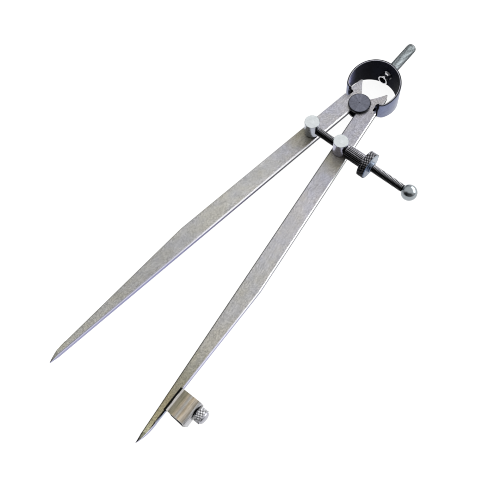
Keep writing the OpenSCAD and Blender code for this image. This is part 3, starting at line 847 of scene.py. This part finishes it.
def spindle():
    """Thread as a stack of rings whose radius follows the helix, from the left post to the ball."""
    start, end = -11.6, 46.85
    pitch, depth, count, steps = 0.7, 0.38, 32, 10
    # where a flank meets the root and the flat crest, as shares of the pitch from the crest's middle
    root_at, crest_at = 0.4318, 0.2045
    core, ball_socket = 1.25, 48.6
    inset, run_out, end_radius = 0.02, 0.5, 1.45
    rows = int(round((end - start) / pitch * steps))
    rings = [(start, 0), (start, core)]
    for k in range(rows + 1):
        x = start + inset + (end - start - 2 * inset) * k / rows
        full = min(1, (x - start) / run_out, (end - x) / run_out)
        radii = []
        for i in range(count):
            turn = (x / pitch - i / count) % 1
            rise = share(abs(turn - 0.5), root_at, crest_at)
            radii.append((THREAD_RADIUS - depth + depth * rise) * full + (1 - full) * end_radius)
        rings.append((x, radii))
    rings += [(end, core), (end + 0.01, core), (ball_socket, core), (ball_socket, 0)]
    shape = painted(revolve(rings, count, axis_place(SPINDLE_AXIS)))
    piece("spindle_thread", shape, [THREAD], body="left_post", replaces="spindle",
          sharp=60)


def ball():
    """Ball with a small flat towards the thread, and a socket for the thread's end."""
    steps, flat_x, socket = 48, -3.46, 1.32
    flat = math.acos(-flat_x / BALL_RADIUS)
    flat_radius = BALL_RADIUS * math.sin(flat)
    rings = [(-1.0, 0), (-1.0, socket), (-3.3, socket), (flat_x, 1.45), (flat_x, flat_radius - 0.12)]
    for i in range(steps):
        angle = flat + (math.pi - flat) * i / steps
        rings.append((-BALL_RADIUS * math.cos(angle), BALL_RADIUS * math.sin(angle)))
    rings.append((BALL_RADIUS, 0))
    shape = painted(revolve(rings, 96, axis_place((BALL_X, POST_Y, SPINDLE_Z))))
    piece("ball", shape, [BALL], body="left_post", replaces="spindle_ball", sharp=30)


def post_edge(name, side, zinc, body):
    """A crisp edge over the bevel of a post's top."""
    profile = [(10.9, 3.2), (11.25, 3.29), (11.25, 3.68), (11.15, 3.78), (10.7, POST_RADIUS), (10.9, 3.2)]
    place = axis_place((side * POST_X, POST_Y, MID_Z), (0, 0, 1), up=(0, 1, 0))
    piece(name, painted(revolve(profile, 96, place)), [zinc], body=body, sharp=40)


def sleeve():
    """Fluted sleeve with a plain collar at each end."""
    count = 96
    flutes = [3.45 if i % 4 in (1, 2) else 3.22 for i in range(count)]
    profile = [(0, 3.15), (0.25, 3.4), (0.5, 3.4), (0.8, flutes), (9.6, flutes), (9.9, 3.4), (10.15, 3.4),
               (SLEEVE_LENGTH, 3.15)]
    rings = [(0, BORE_RADIUS)] + profile + [(SLEEVE_LENGTH, BORE_RADIUS), (0, BORE_RADIUS)]
    shape = painted(revolve(rings, count, axis_place((SLEEVE_X, POST_Y, SPINDLE_Z))))
    piece("sleeve", shape, [SLEEVE], body="right_post", replaces="spacer_sleeve",
          sharp=30)


def adjusting_nut():
    """Flange with a diamond knurl, a bevel on each side and a collar towards the ball."""
    before = [(0.5, BORE_RADIUS), (0, BORE_RADIUS), (0, 4.6), (0.12, 4.75), (0.12, 6.0), (0.42, 6.42)]
    band = (0.46, 3.96, 6.5, 6.8, 6, 0.46)
    after = [(4.0, 6.42), (4.28, 6.05), (4.28, 3.3), (4.4, 3.15), (4.4, 2.8), (5.15, 2.8), (5.3, 2.65),
             (5.3, BORE_RADIUS), (0.5, BORE_RADIUS)]
    shape = with_knurls(before, band, after, 72, axis_place((NUT_X, POST_Y, SPINDLE_Z)))
    piece("nut_knurled", shape, [NUT, NUT_RIM], body="adjusting_nut", replaces="adjusting_nut",
          sharp=20)


spindle()
ball()
post_edge("post_edge_left", -1, POST_LEFT, "left_post")
post_edge("post_edge_right", 1, POST_RIGHT, "right_post")
sleeve()
adjusting_nut()


# ---------- handle and its nut ----------

def handle():
    """Knurled rod with a domed end and a thinner shank through the bow."""
    radius, length, dome, steps = 2.6, 21.6, 1.5, 8
    before = [(-3.4, 0), (-3.4, 1.3), (-3.2, 1.5), (0, 1.5), (0, 2.35), (0.25, radius), (0.8, radius)]
    band = (0.95, 19.55, 2.42, 2.65, 40, 0.74)
    after = [(19.7, radius)]
    for i in range(1, steps + 1):
        angle = math.pi / 2 * i / steps
        after.append((length - dome + dome * math.sin(angle), radius - dome * (1 - math.cos(angle))))
    after.append((length, 0))
    shape = with_knurls(before, band, after, 34, axis_place((0, BOW_TOP_Y, MID_Z), (0, 1, 0)))
    piece("handle_knurled", shape, [HANDLE_END, HANDLE], body="head", replaces="handle",
          sharp=25)


def handle_nut():
    """Hexagon nut with chamfered corners and a flared seat against the bow."""
    count, to_flat = 48, 2.6
    turns = [(2 * math.pi * i / count + math.pi / 6) % (math.pi / 3) - math.pi / 6 for i in range(count)]

    def hexagon(limit):
        return [min(to_flat / math.cos(turn), limit) for turn in turns]

    outside = [(0, 2.05), (0, hexagon(2.6)), (0.25, hexagon(2.8)), (0.6, hexagon(3.1)),
               (2.0, hexagon(3.1)), (2.3, hexagon(2.7)), (2.35, 2.25), (2.6, 2.2), (3.2, 2.4),
               (3.7, 2.8), (3.95, 3.0), (4.0, 2.9)]
    bore = [(4.0, 1.62), (2.3, 1.62), (0.35, 1.7)]
    rings = [(0.35, 1.7)] + outside + bore
    shape = revolve(rings, count, axis_place((0, corners("handle_nut")[0][1], MID_Z), (0, 1, 0)))
    # the bore and the chamfer at its mouth are in shade
    shape = painted(shape, lambda ring: 1 if ring == 0 or ring > len(outside) else 0)
    piece("handle_nut_hex", shape, [NICKEL, SPRING_IN], body="head", replaces="handle_nut",
          sharp=20)


handle()
handle_nut()


# ---------- pencil clamp and its screw ----------

def clamp_section(layer):
    """The loop's section as (x, z): the outer outline (layer 0) or the inner one (layer 1).

    The inner one stops short of the right wall, which is two sheets thick.
    """
    steps = 8
    radius = CLAMP_BEND - layer * CLAMP_SHEET
    right, up = CLAMP_WIDTH - CLAMP_BEND, CLAMP_DEPTH / 2 - CLAMP_BEND
    widest = CLAMP_WIDTH - 2 * layer * CLAMP_SHEET
    section = []
    for quarter, (x, z) in enumerate(((right, up), (CLAMP_BEND, up), (CLAMP_BEND, -up), (right, -up))):
        for i in range(steps + 1):
            angle = math.radians(90 * quarter + 90 * i / steps)
            section.append((min(x + radius * math.cos(angle), widest), z + radius * math.sin(angle)))
    return section


def clamp_swell(x, z):
    """How far the sheet reaches towards the point: most in its lower layer, with a round corner."""
    reach, least, corner_cut = 1.25, 0.1, 1.9
    low = share(z, CLAMP_DEPTH / 2, -CLAMP_DEPTH / 2)
    rise = share(x, 0.4, 4.9)
    corner = share(x, 8, CLAMP_WIDTH) * low
    smooth = rise * rise * (3 - 2 * rise)
    return reach * smooth * (least + (1 - least) * low) - corner_cut * corner * corner


def clamp_band():
    """Sheet loop whose lower layer swells out a little towards the point."""
    outside, inside, end = range(3)
    steps = 8
    half = CLAMP_LENGTH / 2
    place = Matrix.Translation(CLAMP_ORIGIN) @ Matrix.Rotation(math.radians(CLAMP_ANGLE), 4, "Z")
    sections = [clamp_section(layer) for layer in (outside, inside)]
    count = len(sections[0])
    points, faces, marks = [], [], []
    for section in sections:
        for k in range(steps + 1):
            for x, z in section:
                low = -half - clamp_swell(x, z)
                points.append(place @ Vector((x, low + (half - low) * k / steps, z)))

    def strip(first, second, mark):
        """Faces between two rows of points, given by their first numbers."""
        for i in range(count):
            j = (i + 1) % count
            faces.append((first + i, first + j, second + j, second + i))
            marks.append(mark)

    layer_size = (steps + 1) * count
    for mark in (outside, inside):
        for k in range(steps):
            first = mark * layer_size + k * count
            strip(first, first + count, mark)
    for k in (0, steps):
        strip(k * count, layer_size + k * count, end)
    piece("clamp_band", (points, faces, marks), [CLAMP, CLAMP_IN, CLAMP_EDGE], body="right_leg",
          replaces="pencil_clamp", sharp=35)


def clamp_screw():
    """Screw with a knurled head and a domed end."""
    steps = 10
    turn = math.radians(CLAMP_ANGLE)
    before = [(8.8, 0), (8.8, 1.1), (9.1, 1.4), (9.2, 1.5), (12.3, 1.5), (12.3, 2.95)]
    band = (12.4, 15.25, 3.3, 3.55, 6, 0.58)
    after = [(15.3, 3.3), (15.42, 3.1)]
    for i in range(1, steps + 1):
        angle = math.pi / 2 * i / steps
        after.append((15.5 + 1.3 * math.sin(angle), 0.35 + 2.75 * math.cos(angle)))
    after.append((16.8, 0))
    place = axis_place(SCREW_ORIGIN, (math.cos(turn), math.sin(turn), 0))
    piece("screw_knurled", with_knurls(before, band, after, 40, place), [SCREW, SCREW_RIM],
          body="clamp_screw", replaces="clamp_screw", sharp=25)


clamp_band()
clamp_screw()


# ---------- stage ----------

def floor():
    """White to the eye and in mirrors, but dark as a source of light, so that it keeps shadows."""
    half = 4000
    corners = ((-half, -half), (half, -half), (half, half), (-half, half))
    mesh = bpy.data.meshes.new("floor")
    mesh.from_pydata([(x * MM, y * MM, FLOOR_Z * MM) for x, y in corners], [], [(0, 1, 2, 3)])
    paper = Surface("floor_paper")
    grain = paper.noise(paper.place(), scale=0.05, detail=2)
    tint = paper.mix(paper.spread(grain, 0, 1), (0.22, 0.22, 0.22), (0.24, 0.24, 0.24))
    path = paper.node("ShaderNodeLightPath").outputs
    seen = paper.math("MAXIMUM", path["Is Camera Ray"], path["Is Glossy Ray"])
    seen = paper.math("MAXIMUM", seen, path["Is Transmission Ray"])
    paper.set(Base_Color=tint, Roughness=0.9, Specular_IOR_Level=0.0, Emission_Color=(1, 1, 1),
              Emission_Strength=paper.math("MULTIPLY", seen, 0.9))
    mesh.materials.append(paper.material)
    new = bpy.data.objects.new("floor", mesh)
    bpy.context.scene.collection.objects.link(new)


def world():
    """A studio that is bright overhead and on the far side and dark on the near side."""
    studio = bpy.data.worlds.new("studio")
    bpy.context.scene.world = studio
    studio.use_nodes = True
    sky = Shader(studio.node_tree)
    direction = sky.node("ShaderNodeTexCoord").outputs["Generated"]
    parts = sky.parts(direction)
    overhead = [(0.84, 0.45), (0.92, 0.95), (1, 1.0)]
    front = sky.ramp(parts["Z"], [(0.0, 0.04), (0.3, 0.02), (0.7, 0.05)] + overhead)
    right = sky.ramp(parts["Z"], [(0.0, 0.30), (0.3, 0.15), (0.7, 0.10)] + overhead)
    near = sky.mix(sky.step(parts["X"], 0.1, 0.6), front, right)
    far = sky.ramp(parts["Z"], [(0.0, 0.35), (0.2, 0.6), (0.55, 0.95), (1.0, 1.0)])
    far_side = {0: direction, 1: (-0.26, 0.966, 0)}
    depth = sky.node("ShaderNodeVectorMath", far_side, operation="DOT_PRODUCT").outputs["Value"]
    room = sky.mix(sky.step(depth, -0.56, -0.16), near, far)
    seen = sky.node("ShaderNodeLightPath").outputs["Is Camera Ray"]
    background = sky.nodes["Background"]
    sky.put(background.inputs["Color"], sky.mix(seen, room, (1, 1, 1)))
    background.inputs["Strength"].default_value = 1.0


def softbox(name, origin, target, size, radiance):
    """A rectangular lamp, whose radiance stays as it is when its size changes."""
    light = bpy.data.lights.new(name, "AREA")
    light.shape = "RECTANGLE"
    light.size, light.size_y = size[0] * MM, size[1] * MM
    light.energy = radiance * light.size * light.size_y * math.pi
    new = bpy.data.objects.new(name, light)
    bpy.context.scene.collection.objects.link(new)
    new.location = Vector(origin) * MM
    new.rotation_euler = (Vector(target) * MM - new.location).to_track_quat("-Z", "Y").to_euler()


def camera():
    """The main view, from the camera's axes and its place in millimetres."""
    right = Vector((0.75989, 0.64637, -0.06903))
    up = Vector((-0.58099, 0.72294, 0.37390))
    back = Vector((0.29158, -0.24402, 0.92490))
    lens = bpy.data.cameras.new("camera")
    lens.sensor_width = 36
    lens.lens = 49.52
    lens.clip_start, lens.clip_end = 0.01, 20
    new = bpy.data.objects.new("camera", lens)
    bpy.context.scene.collection.objects.link(new)
    place = Matrix((right, up, back)).transposed().to_4x4()
    place.translation = Vector((104.60, -177.90, 309.86)) * MM
    new.matrix_world = place
    bpy.context.scene.camera = new


floor()
world()
softbox("softbox_key", (340, 617, 325), (20, -40, 0), (1200, 560), 2.9)
softbox("softbox_spot", (368, 458, 400), (50, -28, 9), (130, 130), 9.0)
camera()
bpy.context.scene.view_settings.view_transform = "Standard"
bpy.context.scene.cycles.filter_width = 1.0
